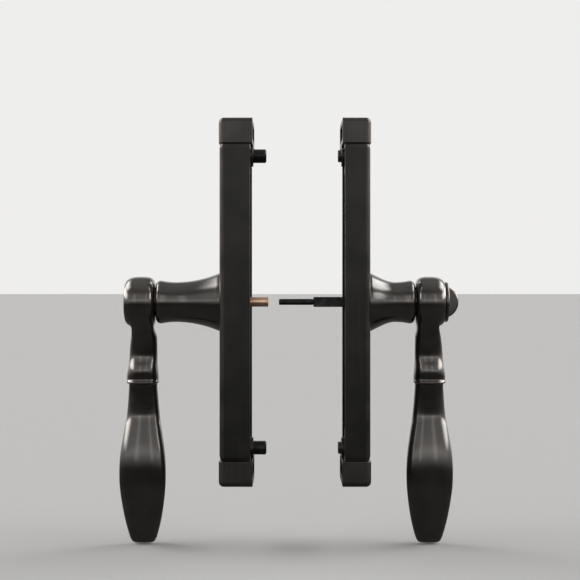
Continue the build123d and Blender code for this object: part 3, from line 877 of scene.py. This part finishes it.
# The thumb-turn
# A zinc casting, plated as the levers are: a round base over the hub's end, a half-round fin to grip, and a
# stub that drives the rod's flat. A cross pin through the stub fixes the rod in it.
TURN_BASE = (10.3, 1.4)          # its radius and its thickness
TURN_GAP = 0.1
TURN_EDGE = 0.6
BACK_EDGE = 0.1
FIN = (8.4, 5.6, 3.4)            # its radius, how far it stands out and its thickness
FIN_EDGE = 0.9
TURN_PIN = 0.6
ROD_SOCKET = 1.3
ROD_FLAT = (6.0, 0.8)            # its length and how far it is from the axis
rod_front = reach("lock_rod", "interior")[0]


def disc_across(radius, thickness, edge, u):
    """A disc with rounded edges that stands along the door's height, about a centre at u."""
    half = thickness / 2
    lower = arc(-half + edge, radius - edge, edge, 180, 90)
    upper = arc(half - edge, radius - edge, edge, 90, 0)
    work = turned([(-half, 0), *lower, *upper, (half, 0)], 96, False)
    bmesh.ops.rotate(work, verts=work.verts, matrix=Matrix.Rotation(pi / 2, 3, "Z"))
    bmesh.ops.translate(work, verts=work.verts, vec=(u, 0, 0))
    return work


def thumb_turn():
    """The base and its stub, with the half-round fin on it and the ways for the rod and its pin."""
    low = hub_end["interior"] + TURN_GAP
    radius, thickness = TURN_BASE
    high = low + thickness
    rim = arc(high - TURN_EDGE, radius - TURN_EDGE, TURN_EDGE, 90, 0)
    outline = [(turn_back, 0), (turn_back, TURN_STUB[0]), (low, TURN_STUB[0])]
    outline += [(low, radius - BACK_EDGE), (low + BACK_EDGE, radius), *rim, (high, 0)]
    base = turned(outline, 96, False)
    fin_radius, fin_reach, fin_thickness = FIN
    fin = disc_across(fin_radius, fin_thickness, FIN_EDGE, high + fin_reach - fin_radius)
    everything = fin.verts[:] + fin.edges[:] + fin.faces[:]
    bmesh.ops.bisect_plane(
        fin, geom=everything, plane_co=(high - TURN_EDGE, 0, 0), plane_no=(1, 0, 0), clear_inner=True
    )
    bmesh.ops.contextual_create(fin, geom=[edge for edge in fin.edges if edge.is_boundary])
    rod_socket = bar(turn_back - PAST, rod_front, ROD_SOCKET, steps=32)
    flat = block(rod_front - ROD_FLAT[0], rod_front + PAST, 3 * ROD_SOCKET, ROD_FLAT[1], 2 * ROD_SOCKET)
    rod_socket = combined(rod_socket, ("DIFFERENCE", flat))
    pin = bar(-radius, radius, TURN_PIN, steps=24)
    bmesh.ops.rotate(pin, verts=pin.verts, matrix=Matrix.Rotation(pi / 2, 3, "Z"))
    bmesh.ops.translate(pin, verts=pin.verts, vec=(hub_end["interior"] - TURN_STUB[1] / 2, 0, 0))
    return combined(base, ("UNION", fin), ("DIFFERENCE", rod_socket), ("DIFFERENCE", pin))


settle(thumb_turn(), "thumb_turn", bronze_gloss, SIDES["interior"])


# The studio
# A pale floor and an even backdrop. The soft lights are painted on the sky, which the camera doesn't see: one
# overhead, a wide band in front, a high and a low lamp on each side, and two upright strips in front.
CAMERA_PLACE = Vector((0.01875, -0.65, 0.0061))
CAMERA_LENS = 78.8
CAMERA_SENSOR = 36.0
FLOOR_HALF = 40.0                # metres from its middle to its edge
FLOOR_DROP = 0.5                 # from the levers' tips down to it, in millimetres
BACKDROP = (0.86, 0.855, 0.845)
DAYLIGHT = (1.0, 0.99, 0.975)
OVERHEAD = 0.25                  # how strong each light is
FRONT_BAND = 0.7
SIDE_LAMP = 8.0
STRIP = 0.9
FADE_OUT = (0.02, 0.1)           # where a light ends, as it is seen square to its axis
floor_grid = bmesh.new()
bmesh.ops.create_grid(floor_grid, x_segments=1, y_segments=1, size=FLOOR_HALF)
bmesh.ops.translate(floor_grid, verts=floor_grid.verts, vec=(0, 0, cad_low.z - FLOOR_DROP * MM))
floor = passing(floor_grid, "floor")
pale = finish(
    "pale_floor",
    lambda hand: tint(hand, speckle(hand, 3.0), (0.2385, 0.238, 0.2365), (0.2415, 0.241, 0.2395)),
    lambda hand: 0.8 + 0.1 * speckle(hand, 20.0),
    lambda hand: (speckle(hand, 200.0), 0.0001),
    {"Specular IOR Level": 0.0},
)
floor.data.materials.append(pale)
floor.visible_glossy = False

world = bpy.data.worlds.new("world")
world.use_nodes = True
world.node_tree.nodes.clear()
bpy.context.scene.world = world
sky = Wire(world.node_tree)
looking = sky.node("ShaderNodeTexCoord", output=0)
x, y, z = (sky.node("ShaderNodeSeparateXYZ", {}, {0: looking}, output) for output in range(3))


def window(value, low, high, soft):
    """1 between low and high, fading over soft on both sides."""
    return value.ramp(low - soft, low + soft) * (1.0 - value.ramp(high - soft, high + soft))


def panel(axis, across, up, across_span, up_span):
    """A soft light about an axis, from slope to slope across it and up it, each with its softness."""
    safe = axis.maths("MAXIMUM", axis, FADE_OUT[0])
    sideways = across.maths("DIVIDE", across, safe)
    upwards = up.maths("DIVIDE", up, safe)
    return window(sideways, *across_span) * window(upwards, *up_span) * axis.ramp(*FADE_OUT)


front = 0.0 - y
left = 0.0 - x
light = 0.12 - 0.08 * z.ramp(-0.5, -0.2) + 0.9 * z.ramp(-0.16, 0.09) - 0.6 * z.ramp(0.4, 0.75)
light = light + OVERHEAD * panel(z, x, y, (-0.35, 0.35, 0.25), (-0.6, 0.4, 0.25))
light = light + FRONT_BAND * panel(front, x, z, (-1.6, 1.6, 0.3), (0.08, 0.24, 0.07))
for side_way in (left, x):
    light = light + SIDE_LAMP * panel(z, side_way, y, (0.6, 1.35, 0.22), (-0.25, 0.8, 0.22))
    light = light + SIDE_LAMP * panel(side_way, y, z, (-0.55, 0.7, 0.35), (0.21, 0.65, 0.08))
for across in ((-0.33, -0.2, 0.05), (0.2, 0.33, 0.05)):
    light = light + STRIP * panel(front, x, z, across, (0.0, 0.75, 0.05))
lit = sky.node("ShaderNodeBackground", {}, {"Color": (*DAYLIGHT, 1), "Strength": light})
seen = sky.node("ShaderNodeBackground", {}, {"Color": (*BACKDROP, 1), "Strength": 1.0})
by_camera = sky.node("ShaderNodeLightPath", output=0)
both = sky.node("ShaderNodeMixShader", {}, {0: by_camera, 1: lit, 2: seen})
sky.node("ShaderNodeOutputWorld", {}, {"Surface": both})
bpy.context.scene.view_settings.view_transform = "Standard"

camera = bpy.data.objects.new("camera", bpy.data.cameras.new("camera"))
camera.data.lens = CAMERA_LENS
camera.data.sensor_width = CAMERA_SENSOR
camera.location = CAMERA_PLACE
camera.rotation_euler = (radians(90), 0, 0)
bpy.context.scene.collection.objects.link(camera)
bpy.context.scene.camera = camera
